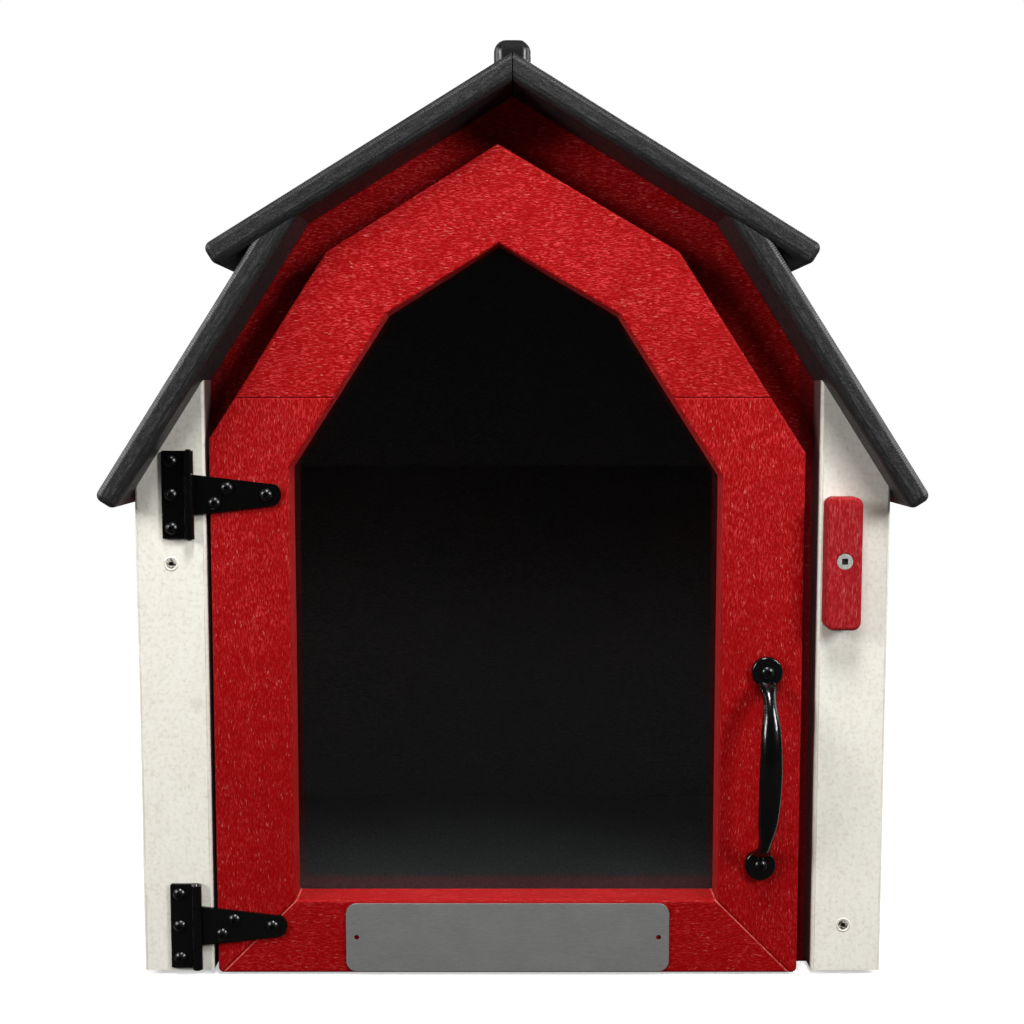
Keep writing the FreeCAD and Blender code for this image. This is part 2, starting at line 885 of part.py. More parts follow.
def name_plate():
    """Bare metal plate on the bottom rail, with a hole near each end."""
    half = plate_width / 2
    low = V(door_middle - half, door_front - plate_thickness, door_lift + plate_foot_gap)
    plate = block(low, low + V(plate_width, plate_thickness, plate_height))
    plate = rounded(plate, plate_corner_radius, lambda edge: runs_along(edge, AWAY))
    reach = half - plate_hole_inset
    front = low.y - cut_overrun
    height = low.z + plate_height / 2
    depth = plate_thickness + 2 * cut_overrun
    ends = [V(door_middle + side * reach, front, height) for side in (LEFT, RIGHT)]
    return plate.cut([rod(end, AWAY, plate_hole_radius, depth) for end in ends])


# Pull handle


def oval(centre, outward, width, depth):
    """Oval section of the grip, as wide as width across the door and as deep as depth along outward."""
    curve = Part.Ellipse(centre + V(width / 2, 0, 0), centre + outward * (depth / 2), centre)
    return Part.Wire([curve.toShape()])


def grip_size(degrees):
    """Width and depth of the grip: full in the middle, narrow at the neck, and flared to the root."""
    turned = abs(degrees)
    if turned < pull_neck_angle:
        share = math.cos(math.radians(turned / pull_neck_angle * 90))
        width = pull_neck_width + (pull_grip_width - pull_neck_width) * share
        return width, pull_neck_depth + (pull_grip_depth - pull_neck_depth) * share
    share = (turned - pull_neck_angle) / (pull_root_angle - pull_neck_angle)
    return pull_neck_width + (pull_root_width - pull_neck_width) * share, pull_neck_depth


def grip_section(degrees):
    """Section where the bow of the grip has turned by so many degrees from its middle."""
    angle = math.radians(degrees)
    width, depth = grip_size(degrees)
    half_length = (pull_spacing / 2 - pull_root_inset) / math.sin(math.radians(pull_root_angle))
    rise = pull_projection - pull_root_height - pull_grip_depth / 2
    centre = V(0, -pull_root_height - rise * math.cos(angle), half_length * math.sin(angle))
    outward = V(0, -half_length * math.cos(angle), rise * math.sin(angle)).normalize()
    return oval(centre, outward, width, depth)


def pull_handle():
    """Bowed grip between two round ends that the screws pass through."""
    half = [pull_neck_angle / 3, pull_neck_angle * 2 / 3, pull_neck_angle]
    half += [(pull_neck_angle + pull_root_angle) / 2, pull_root_angle]
    turns = [-degrees for degrees in reversed(half)] + [0] + half
    grip = Part.makeLoft([grip_section(degrees) for degrees in turns], True)
    discs = []
    for step in (-1, 1):
        centre = V(0, -pull_disc_thickness, step * pull_spacing / 2)
        disc = rod(centre, AWAY, pull_disc_radius, pull_disc_thickness)
        discs.append(rounded(disc, pull_disc_edge_radius, lambda edge: lies_in(edge, -pull_disc_thickness)))
    handle = grip.fuse(discs)
    handle.rotate(V(0, 0, 0), AWAY, pull_tilt)
    handle.translate((pull_end(-1) + pull_end(1)) * 0.5)
    return drilled(handle, placed(pan_hole(PULL_SCREW), pull_places()))


def screws(sizes, places, maker):
    """Screws of one kind as separate solids."""
    return group(placed(maker(sizes), places))


def nodes():
    """Every node of the box by name."""
    board = board_places(frame_front, AWAY)
    back = board_places(box_depth / 2, V(0, -1, 0))
    parts = {
        "floor_panel": floor_panel(),
        "left_side_wall": side_wall(LEFT),
        "right_side_wall": side_wall(RIGHT),
        "back_panel": back_panel(),
        "front_frame": front_frame(),
        "left_corner_post": corner_post(LEFT),
        "right_corner_post": corner_post(RIGHT),
        "upper_left_roof_plank": upper_roof_plank(LEFT),
        "upper_right_roof_plank": upper_roof_plank(RIGHT),
        "lower_left_roof_plank": lower_roof_plank(LEFT),
        "lower_right_roof_plank": lower_roof_plank(RIGHT),
        "ridge_bar": ridge_bar(),
        "front_frame_screws": screws(BOARD_SCREW, board, flat_screw),
        "back_panel_screws": screws(BOARD_SCREW, back, flat_screw),
        "floor_screws": screws(BOARD_SCREW, floor_places(), flat_screw),
        "roof_screws": screws(ROOF_SCREW, roof_places(LEFT) + roof_places(RIGHT), pan_screw),
        "ridge_bar_screws": screws(ridge_screw(), ridge_bar_places(), flat_screw),
        "corner_post_screws": screws(POST_SCREW, post_places(), flat_screw),
        "hinge_leaf_screws": screws(HINGE_SCREW, leaf_places(), pan_screw),
        "button_screw": screws(BUTTON_SCREW, button_places(), flat_screw),
        "turn_button": turn_button(),
        "door_pane": door_pane(),
        "pane_screws": screws(PANE_SCREW, pane_places(), pan_screw),
        "door_joint_screws": group(
            placed(pan_screw(JOINT_SCREW), pocket_places()) + placed(flat_screw(JOINT_SCREW), corner_places())
        ),
        "hinge_strap_screws": screws(STRAP_SCREW, strap_places(), pan_screw),
        "pull_handle": pull_handle(),
        "pull_handle_screws": screws(PULL_SCREW, pull_places(), pan_screw),
        "name_plate": name_plate(),
    }
    parts.update(door_pieces())
    for name in hinge_names:
        parts[name + "_hinge_leaf"] = hinge_leaf(name)
        parts[name + "_hinge_strap"] = hinge_strap(name)
        parts[name + "_hinge_pin"] = hinge_pin(name)
    return parts


os.makedirs("parts", exist_ok=True)
for node, shape in nodes().items():
    shape.exportStep("parts/" + node + ".step")
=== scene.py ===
from collections import namedtuple
import math

import bpy
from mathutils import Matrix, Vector


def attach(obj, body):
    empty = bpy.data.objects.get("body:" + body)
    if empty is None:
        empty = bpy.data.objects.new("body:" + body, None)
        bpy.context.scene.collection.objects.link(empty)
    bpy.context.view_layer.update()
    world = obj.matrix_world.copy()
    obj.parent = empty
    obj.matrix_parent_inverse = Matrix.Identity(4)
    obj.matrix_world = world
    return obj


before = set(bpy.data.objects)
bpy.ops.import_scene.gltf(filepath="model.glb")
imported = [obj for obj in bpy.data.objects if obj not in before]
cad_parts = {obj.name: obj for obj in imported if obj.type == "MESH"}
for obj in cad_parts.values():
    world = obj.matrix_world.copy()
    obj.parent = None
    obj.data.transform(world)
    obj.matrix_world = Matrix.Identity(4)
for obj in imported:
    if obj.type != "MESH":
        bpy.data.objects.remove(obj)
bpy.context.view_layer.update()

# A barn-shaped street book exchange box of recycled-plastic boards, in metres.
# It faces -Y, +X is right and +Z is up.

ACROSS = 0
DEEP = 1
UP = 2

# Camera, placed as the photograph was taken
image_pixels = 1024
focal_pixels = 1341
sensor_width = 36.0
camera_place = (-0.0003, -0.8823, 0.3172)
camera_pitch = 85.23

# Flecks of the boards: width across the grain and length along it
board_flecks = (0.0006, 0.0028)
plank_flecks = (0.0008, 0.009)
post_flecks = (0.0012, 0.006)
button_coarseness = 1.3

# How far the grain wanders, and over what length
grain_wander = 0.002
grain_swirl = 0.012

# Where the bright and dark flecks' patterns lie beside the light ones', and how fine they are
bright_fleck_shift = (37, 11, 5)
bright_fleck_scale = 0.8
dark_fleck_shift = (5, 23, 41)
dark_fleck_scale = 0.55

# Heights of the grain between which a board's roughness changes
grain_heights = (-0.3, 0.3)

# Stretched patterns: width across and length along
post_smudges = (0.009, 0.016)
post_line_breaks = (0.003, 0.02)
bar_draw_lines = (0.0009, 0.1)
plate_brushing = (0.00018, 0.003)

# Scales of the other patterns, per metre
red_cloud_scale = 12.5
red_patch_scale = 150.0
mitre_break_scale = 260.0
post_cloud_scale = 45.0
post_mottle_scale = 420.0
plank_shake_scale = 160.0
plank_wear_scale = 90.0
plank_pit_scale = 900.0
plank_speck_scale = 1500.0
plank_streak_scales = (120, 620, 300)
bar_dust_scale = 600.0
enamel_peel_scale = 700.0
enamel_dust_scale = 2200.0
plate_cloud_scale = 60.0
screw_wear_scale = 900.0
screw_grit_scale = 2400.0
pane_haze_scale = 30.0
pane_wave_scale = 9.0
floor_mottle_scale = 3.0

# Depths of the surface relief
board_relief = 0.00018
post_relief = 0.00005
post_mottle_relief = 0.00006
plank_relief = 0.00014
plank_pit_relief = 0.00006
router_relief = 0.0001
bar_relief = 0.000012
enamel_relief = 0.00003
plate_relief = 0.00001
screw_relief = 0.00003
pane_relief = 0.00002

# Roughness at the low and the high end of each surface's pattern
red_roughness = (0.6, 0.46)
charcoal_roughness = (0.66, 0.5)
white_roughness = (0.42, 0.52)
plank_roughness = (0.52, 0.4)
bar_roughness = (0.24, 0.32)
bar_dull_roughness = 0.42
enamel_roughness = (0.12, 0.24)
screw_enamel_roughness = (0.24, 0.36)
plate_roughness = (0.56, 0.44)
screw_roughness = (0.5, 0.36)
pane_roughness = (0.0, 0.03)
floor_roughness = 0.9

# How strongly the boards mirror. The bar has two values, where it is glossy and where it is dull
red_mirror = 0.09
charcoal_mirror = 0.25
white_mirror = 0.3
plank_mirror = 0.35
bar_mirror = (0.4, 0.14)

# Metals and the clear pane
plate_metal = 0.4
plate_anisotropy = 0.3
pane_screw_metal = 0.8
post_screw_metal = 0.35
button_screw_metal = 0.25
pane_refraction = 1.49

# Rounded look of the red boards' edges
edge_radius = 0.0012
edge_samples = 4

# How squarely a face looks out (1 is straight), where the line beside a rounded edge comes and goes
post_line = ((0.9, 0.97), (0.99, 0.9995))
plank_line = ((0.96, 0.985), (0.997, 0.9995))

# How far from a mitre the painted highlight line beside it comes and goes
mitre_highlight_band = ((0.0004, 0.0008), (0.0012, 0.0018))

# Router marks across the planks' outer edges, and how worn the upper and the lower planks are; where
# less worn, painted shade darkens their rounded outer edges
router_pitch = 0.0013
router_shake = 6.0
plank_wear_and_edge_shade = {"upper": 0.15, "lower": 0.9}

# How soon painted shade darkens the posts in the narrow gaps beside the door, and which of their faces
# look into them:
# the face's direction across times its place across
gap_shade_depths = (0.0005, 0.005)
gap_shade_faces = (-0.04, -0.12)

# Where painted shade darkens the front frame in the gap beside the door, from the door's edge outward
frame_shade_from = -0.001
frame_shade_to = 0.0005

# Heights between which painted shade deepens the red boards towards the bottom and their light flecks
# thin out, as the light falls off
falloff_shade_top = 0.42
falloff_shade_bottom = 0.05

# Depths in a screw's drive between which it grows dark
drive_dark_depths = (0.0001, 0.0005)

# Raised lip that each post screw pushes up round its head.
# The section gives shares of its width from inside to outside, and of its height above the board.
lip_gap = 0.0002
lip_width = 0.0014
lip_height = 0.00025
lip_section = ((0.0, -0.48), (0.3, 1.0), (0.6, 0.8), (1.0, -0.16))
lip_segments = 48

# Points this close to a board's top belong to its top edge
level_tolerance = 0.0001

# Floor, which fades into the white background between two distances,
# and the bounces under which light sees it pale
floor_radius = 6.0
floor_corners = 96
floor_drop = 0.0002
floor_fade = (0.55, 1.3)
floor_glow = 0.5
floor_seen_bounces = 0.5

# World: its light, its brightness in mirrors ahead of the box and straight behind it,
# and the bounces under which light sees it white
world_fill = 0.01
world_gloss = (0.015, 0.5)
world_seen_bounces = 1.5

# Softboxes, which all look at one point: place, width and height, power
lamp_aim = (0, -0.1, 0.25)
lamps = {
    "right_front": ((1.3, -1.1, 0.93), (0.4, 0.6), 22),
    "left_front": ((-1.4, -1.0, 0.82), (0.6, 0.6), 20),
    "top_front": ((0.02, -0.7, 1.36), (0.35, 0.35), 14),
    "left_side": ((-1.9, 0.1, 1.1), (1.0, 1.0), 12),
    "right_side": ((1.9, 0.1, 1.1), (1.0, 1.0), 12),
    "back": ((0.5, 1.7, 1.4), (1.4, 1.2), 26),
}


def srgb(red, green, blue):
    """Linear colour from screen values of 0 to 255."""
    shares = [value / 255 for value in (red, green, blue)]
    linear = [s / 12.92 if s <= 0.04045 else ((s + 0.055) / 1.055) ** 2.4 for s in shares]
    return (*linear, 1.0)


RED = srgb(152, 0, 3)
RED_FLECK = srgb(208, 56, 58)
RED_BRIGHT = srgb(226, 118, 108)
RED_SHADE = srgb(120, 0, 1)
RED_COLOURS = (RED, RED_FLECK, RED_SHADE)
BUTTON_COLOURS = (srgb(164, 22, 28), srgb(202, 80, 82), srgb(104, 2, 8))
# Painted shade colour for the narrow gaps beside the door
GAP_SHADE = srgb(66, 14, 24)
WHITE = srgb(230, 226, 214)
WHITE_FLECK = srgb(239, 237, 227)
WHITE_SHADE = srgb(190, 184, 169)
CHARCOAL = srgb(34, 35, 36)
CHARCOAL_FLECK = srgb(64, 65, 66)
CHARCOAL_END = srgb(57, 57, 57)
CHARCOAL_SHADE = srgb(15, 15, 16)
CHARCOAL_BRIGHT = srgb(88, 88, 86)
CHARCOAL_LINE = srgb(8, 8, 8)
ROUTER_MARK = srgb(118, 118, 116)
BAR_BLACK = srgb(12, 11, 11)
BAR_DUST = srgb(44, 43, 41)
ENAMEL_BLACK = srgb(4, 4, 4)
ENAMEL_DUST = srgb(30, 30, 30)
PLATE_DARK = srgb(126, 127, 125)
PLATE_LIGHT = srgb(140, 141, 139)
PLATE_CLOUD = srgb(148, 149, 147)
STEEL = srgb(184, 184, 179)
PANE_STEEL_WORN = srgb(150, 149, 144)
BUTTON_STEEL_WORN = srgb(160, 159, 154)
POST_STEEL = srgb(88, 76, 68)
POST_STEEL_WORN = srgb(226, 220, 206)
DRIVE_DARK = srgb(34, 29, 23)
PANE_CLEAR = srgb(243, 248, 247)
FLOOR_PALE = (srgb(236, 236, 235), srgb(240, 240, 239))
FLOOR_DIM = srgb(72, 72, 72)
FLOOR_MIRRORED = srgb(50, 50, 50)
PURE_WHITE = (1, 1, 1, 1)

Grain = namedtuple("Grain", "light bright dark height")


class Nodes:
    """Shader nodes of a material or a world."""

    def __init__(self, tree):
        self.tree = tree

    def put(self, socket, value):
        """Links a socket to another one, or gives it a value."""
        if isinstance(value, bpy.types.NodeSocket):
            self.tree.links.new(value, socket)
        else:
            socket.default_value = value

    def node(self, kind, inputs=(), **settings):
        """Adds a shader node with its settings and inputs."""
        made = self.tree.nodes.new("ShaderNode" + kind)
        for name, value in settings.items():
            setattr(made, name, value)
        for name, value in dict(inputs).items():
            self.put(made.inputs[name], value)
        return made

    def number(self, operation, *values):
        """Arithmetic on numbers."""
        return self.node("Math", dict(enumerate(values)), operation=operation).outputs[0]

    def product(self, value, *factors):
        """A number times one or more others."""
        for factor in factors:
            value = self.number("MULTIPLY", value, factor)
        return value

    def vector(self, operation, *values):
        """Arithmetic on vectors."""
        return self.node("VectorMath", dict(enumerate(values)), operation=operation).outputs[0]

    def axis(self, vector, axis):
        """One coordinate of a vector."""
        return self.node("SeparateXYZ", {0: vector}).outputs[axis]

    def mixed_shader(self, share, first, second):
        """Shader that goes from the first to the second as share goes from 0 to 1."""
        return self.node("MixShader", {0: share, 1: first, 2: second}).outputs[0]

    def seen(self, bounces):
        """1 for light with fewer bounces than that, not counting its ways through the pane, else 0."""
        path = self.node("LightPath")
        depth = self.number("SUBTRACT", path.outputs["Ray Depth"], path.outputs["Transmission Depth"])
        return self.number("LESS_THAN", depth, bounces)


class Look(Nodes):
    """A material made of nodes on Blender's Principled shader."""

    def __init__(self, name):
        self.material = bpy.data.materials.new(name)
        self.material.use_nodes = True
        super().__init__(self.material.node_tree)
        self.shader = self.tree.nodes["Principled BSDF"]
        self.place = self.node("TexCoord").outputs["Object"]

    def facing(self):
        """Direction that the surface faces."""
        return self.node("NewGeometry").outputs["Normal"]

    def dot(self, vector, direction):
        """How far a vector reaches along a direction."""
        inputs = {0: vector, 1: direction}
        return self.node("VectorMath", inputs, operation="DOT_PRODUCT").outputs["Value"]

    def noise(self, vector, scale=1.0, detail=2.0, roughness=0.5, output="Fac"):
        """Smooth random pattern from 0 to 1."""
        inputs = {"Vector": vector, "Scale": scale, "Detail": detail, "Roughness": roughness}
        return self.node("TexNoise", inputs).outputs[output]

    def ramp(self, value, low, high, start=0.0, end=1.0):
        """Smooth step from start to end while value goes from low to high."""
        inputs = {"Value": value, "From Min": low, "From Max": high, "To Min": start, "To Max": end}
        return self.node("MapRange", inputs, interpolation_type="SMOOTHSTEP").outputs[0]

    def band(self, value, rise, fall):
        """Smooth step up while value goes through rise, and down again while it goes through fall."""
        return self.product(self.ramp(value, fall[1], fall[0]), self.ramp(value, *rise))

    def mix(self, share, first, second):
        """Mix of two colours."""
        return self.node("Mix", {0: share, 6: first, 7: second}, data_type="RGBA").outputs[2]

    def bump(self, height, distance, below=None):
        """Surface relief, on top of the relief below it."""
        made = self.node("Bump", {"Strength": 1.0, "Distance": distance, "Height": height})
        if below:
            self.put(made.inputs["Normal"], below)
        return made.outputs["Normal"]

    def finish(self, colour, roughness, normal=None, **values):
        """Sets the shader's inputs and gives the material."""
        self.put(self.shader.inputs["Base Color"], colour)
        self.put(self.shader.inputs["Roughness"], roughness)
        if normal:
            self.put(self.shader.inputs["Normal"], normal)
        for name, value in values.items():
            self.put(self.shader.inputs[name.replace("_", " ").title().replace("Ior", "IOR")], value)
        return self.material

    def add_shader(self, share, other):
        """Shows another shader in place of the Principled one as share goes from 0 to 1."""
        choice = self.mixed_shader(share, self.shader.outputs[0], other)
        self.put(self.tree.nodes["Material Output"].inputs["Surface"], choice)


def stretched(look, place, along, width, length):
    """Coordinates in which one unit is width across the grain and length along it."""
    factors = [1 / width] * 3
    factors[along] = 1 / length
    return look.vector("MULTIPLY", place, factors)


def wandering(look, reach, size):
    """Coordinates pushed about by up to reach, so that the grain isn't straight."""
    swirl = look.noise(look.place, 1 / size, 1.0, output="Color")
    push = look.vector("SUBTRACT", swirl, (0.5, 0.5, 0.5))
    return look.vector("MULTIPLY_ADD", push, (reach, reach, reach), look.place)


def grain(look, along, flecks=board_flecks):
    """Grain of a board: the patterns of its light, bright and dark flecks, and their height."""
    place = stretched(look, wandering(look, grain_wander, grain_swirl), along, *flecks)
    fine = look.noise(place, 1.0, 2.0, 0.6)
    sparse = look.noise(look.vector("ADD", place, bright_fleck_shift), bright_fleck_scale, 1.0)
    coarse = look.noise(look.vector("ADD", place, dark_fleck_shift), dark_fleck_scale, 2.0, 0.55)
    return Grain(
        light=look.ramp(fine, 0.46, 0.66),
        bright=look.ramp(sparse, 0.66, 0.76),
        dark=look.ramp(coarse, 0.5, 0.32),
        height=look.number("SUBTRACT", look.number("ADD", fine, coarse), 1.0),
    )


def mitre_highlights(look, left, right, top):
    """Painted highlight lines beside a rail's mitres, which run at 45 degrees from its top corners."""
    x = look.axis(look.place, ACROSS)
    z = look.axis(look.place, UP)
    from_left = look.number("SUBTRACT", look.number("SUBTRACT", x, z), left - top)
    from_right = look.number("SUBTRACT", right + top, look.number("ADD", x, z))
    away = look.number("MINIMUM", from_left, from_right)
    broken = look.noise(look.place, mitre_break_scale)
    return look.product(look.band(away, *mitre_highlight_band), look.ramp(broken, 0.35, 0.6, 0.2, 0.6))


def red_board(name, along, coarseness=1.0, colours=RED_COLOURS, gap_place=None, mitres=None):
    """Red recycled-plastic board, with painted shade beyond the gap's place and painted highlight lines
    along its mitres where given.
    """
    base, fleck, shade = colours
    look = Look(name)
    flecks = grain(look, along, [size * coarseness for size in board_flecks])
    # Painted shade and painted sheen: towards the bottom the red deepens and its light flecks thin out,
    # as the light falls off.
    low = look.ramp(look.axis(look.place, UP), falloff_shade_top, falloff_shade_bottom)
    cloud = look.noise(look.place, red_cloud_scale, 3.0, 0.55)
    patch = look.noise(look.place, red_patch_scale, 3.0, 0.6)
    light = look.product(
        flecks.light,
        look.ramp(patch, 0.35, 0.65, 0.4, 1.0),
        look.ramp(low, 0.0, 1.0, 1.0, 0.6),
    )
    colour = look.mix(look.product(flecks.dark, 0.35), base, shade)
    colour = look.mix(light, colour, fleck)
    colour = look.mix(look.product(flecks.bright, 0.6), colour, RED_BRIGHT)
    colour = look.mix(look.ramp(cloud, 0.35, 0.7, 0.0, 0.2), colour, shade)
    # Painted shade deepening the red towards the bottom.
    colour = look.mix(look.product(low, 0.35), colour, shade)
    # Painted highlight where light would catch the rail's edge beside each mitre.
    if mitres is not None:
        colour = look.mix(mitre_highlights(look, *mitres), colour, RED_BRIGHT)
    # Painted shade: the front frame darkens in the narrow gap beside the door.
    if gap_place is not None:
        across = look.number("ABSOLUTE", look.axis(look.place, ACROSS))
        frame_gap_shade = look.ramp(across, gap_place + frame_shade_from, gap_place + frame_shade_to, 0.0, 0.5)
        colour = look.mix(frame_gap_shade, colour, GAP_SHADE)
    rough = look.ramp(flecks.height, *grain_heights, *red_roughness)
    edges = look.node("Bevel", {"Radius": edge_radius}, samples=edge_samples).outputs["Normal"]
    relief = look.bump(flecks.height, board_relief * coarseness, edges)
    return look.finish(colour, rough, relief, specular_ior_level=red_mirror)


def charcoal_board(name, along):
    """Plain charcoal recycled-plastic board."""
    look = Look(name)
    flecks = grain(look, along)
    colour = look.mix(look.product(flecks.dark, 0.7), CHARCOAL, CHARCOAL_SHADE)
    colour = look.mix(look.product(flecks.light, 0.35), colour, CHARCOAL_FLECK)
    rough = look.ramp(flecks.height, *grain_heights, *charcoal_roughness)
    relief = look.bump(flecks.height, board_relief)
    return look.finish(colour, rough, relief, specular_ior_level=charcoal_mirror)


def smooth_board(name, along, front):
    """White mottled board with a line where its edges round off, and painted shade in the gap beside the
    door.
    """
    look = Look(name)
    flecks = grain(look, along, post_flecks)
    cloud = look.noise(look.place, post_cloud_scale, 4.0, 0.6)
    mottle = look.noise(look.place, post_mottle_scale, 3.0, 0.65)
    smudge = look.noise(stretched(look, look.place, along, *post_smudges), 1.0, 3.0, 0.6)
    broken = look.noise(stretched(look, look.place, along, *post_line_breaks))
    facing = look.facing()
    frontal = look.number("ABSOLUTE", look.axis(facing, DEEP))
    line = look.product(look.band(frontal, *post_line), look.ramp(broken, 0.35, 0.6, 0.2, 0.8))
    inward = look.product(look.axis(facing, ACROSS), look.axis(look.place, ACROSS))
    sunk = look.number("SUBTRACT", look.axis(look.place, DEEP), front)
    post_gap_shade = look.product(look.ramp(inward, *gap_shade_faces), look.ramp(sunk, *gap_shade_depths))
    colour = look.mix(look.ramp(cloud, 0.4, 0.7, 0.0, 0.4), WHITE, WHITE_FLECK)
    colour = look.mix(look.ramp(mottle, 0.35, 0.65, 0.0, 0.5), colour, WHITE_FLECK)
    colour = look.mix(look.ramp(mottle, 0.5, 0.3, 0.0, 0.28), colour, WHITE_SHADE)
    colour = look.mix(look.ramp(smudge, 0.58, 0.78, 0.0, 0.35), colour, WHITE_SHADE)
    colour = look.mix(look.product(flecks.dark, 0.1), colour, WHITE_SHADE)
    colour = look.mix(line, colour, WHITE_SHADE)
    # Painted shade on the posts' faces deep in the gaps beside the door.
    colour = look.mix(look.product(post_gap_shade, 0.93), colour, GAP_SHADE)
    rough = look.ramp(cloud, 0.3, 0.7, *white_roughness)
    relief = look.bump(flecks.height, post_relief, look.bump(mottle, post_mottle_relief))
    return look.finish(colour, rough, relief, specular_ior_level=white_mirror)


def widest_normal(node):
    """Direction that the widest upward face of a node looks."""
    areas = {}
    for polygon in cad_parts[node].data.polygons:
        key = tuple(round(value, 2) for value in polygon.normal)
        areas[key] = areas.get(key, 0.0) + polygon.area
    upward = {key: area for key, area in areas.items() if key[UP] > 0.1}
    return Vector(max(upward, key=upward.get)).normalized()


def router_marks(look, travel, edge):
    """Marks that a router left one after another across a board's edges, partly worn away."""
    shake = look.product(look.noise(look.place, plank_shake_scale), router_shake)
    phase = look.number("MULTIPLY_ADD", travel, 2 * math.pi / router_pitch, shake)
    worn = look.noise(look.place, plank_wear_scale, 3.0, 0.7)
    return look.product(
        look.ramp(look.number("SINE", phase), -0.2, 0.9),
        edge,
        look.ramp(worn, 0.36, 0.6, 0.1, 1.0),
    )


def sawn_end(look, streak, pits):
    """Streaked, pitted and specked colour of a plank's end."""
    speck = look.noise(look.place, plank_speck_scale, 2.0, 0.6)
    colour = look.mix(look.ramp(streak, 0.4, 0.75), CHARCOAL_SHADE, CHARCOAL_END)
    colour = look.mix(look.ramp(pits, 0.55, 0.7, 0.0, 0.5), colour, CHARCOAL_SHADE)
    return look.mix(look.ramp(speck, 0.54, 0.7, 0.0, 0.4), colour, CHARCOAL_BRIGHT)


def roof_plank(node, wear):
    """Charcoal board, streaked along its ends, with worn router marks and painted shade across its
    rounded outer edges.
    """
    outward = widest_normal(node)
    down = outward.cross(Vector((0, 1, 0)))
    look = Look(node + "_look")
    flecks = grain(look, DEEP, plank_flecks)
    facing = look.facing()
    out = look.dot(facing, tuple(outward))
    deep = look.number("ABSOLUTE", look.axis(facing, DEEP))
    sideways = look.number("ABSOLUTE", look.dot(facing, tuple(down)))
    flatness = look.number("MAXIMUM", look.number("ABSOLUTE", out), deep)
    flatness = look.number("MAXIMUM", flatness, sideways)
    edge = look.product(look.ramp(flatness, 0.985, 0.93), look.ramp(out, 0.05, 0.35))

    slope_place = look.dot(look.place, tuple(down))
    out_place = look.dot(look.place, tuple(outward))
    deep_place = look.axis(look.place, DEEP)
    at_end = look.ramp(look.number("SUBTRACT", deep, sideways), -0.02, 0.02)
    travel = look.product(deep_place, look.number("SUBTRACT", 1.0, at_end))
    travel = look.number("MULTIPLY_ADD", slope_place, at_end, travel)
    marks = router_marks(look, travel, edge)

    place = look.node("CombineXYZ", {0: slope_place, 1: out_place, 2: deep_place}).outputs[0]
    streak = look.noise(look.vector("MULTIPLY", place, plank_streak_scales), 1.0, 3.0, 0.6)
    pits = look.noise(look.place, plank_pit_scale, 3.0, 0.65)
    colour = look.mix(look.product(flecks.dark, 0.5), CHARCOAL, CHARCOAL_SHADE)
    colour = look.mix(look.product(flecks.light, 0.4), colour, CHARCOAL_FLECK)
    colour = look.mix(look.ramp(deep, 0.5, 0.95, 0.0, 0.9), colour, sawn_end(look, streak, pits))
    colour = look.mix(look.product(edge, wear * 0.5), colour, CHARCOAL_FLECK)
    # Painted shade on the rounded outer edges, strongest on the upper planks.
    colour = look.mix(look.product(edge, 1 - wear), colour, CHARCOAL_SHADE)
    colour = look.mix(look.product(marks, wear * 0.75), colour, ROUTER_MARK)
    colour = look.mix(look.product(look.band(flatness, *plank_line), 0.7), colour, CHARCOAL_LINE)
    relief = look.bump(flecks.height, plank_relief)
    relief = look.bump(pits, plank_pit_relief, relief)
    relief = look.bump(marks, router_relief, relief)
    rough = look.ramp(streak, 0.3, 0.7, *plank_roughness)
    return look.finish(colour, rough, relief, specular_ior_level=plank_mirror)


def ridge_black():
    """Smooth black plastic bar with fine draw lines, glossy on its sides and dusty elsewhere."""
    look = Look("ridge_bar_look")
    lines = look.noise(stretched(look, look.place, DEEP, *bar_draw_lines))
    dust = look.noise(look.place, bar_dust_scale, 4.0, 0.7)
    sideways = look.number("ABSOLUTE", look.axis(look.facing(), ACROSS))
    dull = look.ramp(sideways, 0.5, 0.2)
    colour = look.mix(look.ramp(dust, 0.55, 0.75, 0.0, 0.3), BAR_BLACK, BAR_DUST)
    rough = look.ramp(dust, 0.3, 0.7, *bar_roughness)
    rough = look.number("MULTIPLY_ADD", dull, bar_dull_roughness, rough)
    gloss = look.ramp(dull, 0.0, 1.0, *bar_mirror)
    return look.finish(colour, rough, look.bump(lines, bar_relief), specular_ior_level=gloss)


def enamel(name, roughness):
    """Gloss black enamel with a slight orange peel, between two roughnesses."""
    look = Look(name)
    peel = look.noise(look.place, enamel_peel_scale)
    dust = look.noise(look.place, enamel_dust_scale, 3.0, 0.7)
    colour = look.mix(look.ramp(dust, 0.6, 0.8, 0.0, 0.2), ENAMEL_BLACK, ENAMEL_DUST)
    rough = look.ramp(dust, 0.35, 0.75, *roughness)
    return look.finish(colour, rough, look.bump(peel, enamel_relief))


def plate():
    """Satin metal plate, finely brushed along its length."""
    look = Look("plate_metal")
    lines = look.noise(stretched(look, look.place, ACROSS, *plate_brushing), 1.0, 3.0, 0.6)
    cloud = look.noise(look.place, plate_cloud_scale, 3.0)
    colour = look.mix(look.ramp(lines, 0.35, 0.7), PLATE_DARK, PLATE_LIGHT)
    colour = look.mix(look.ramp(cloud, 0.4, 0.7, 0.0, 0.25), colour, PLATE_CLOUD)
    rough = look.ramp(lines, 0.3, 0.7, *plate_roughness)
    relief = look.bump(lines, plate_relief)
    return look.finish(colour, rough, relief, metallic=plate_metal, anisotropic=plate_anisotropy)


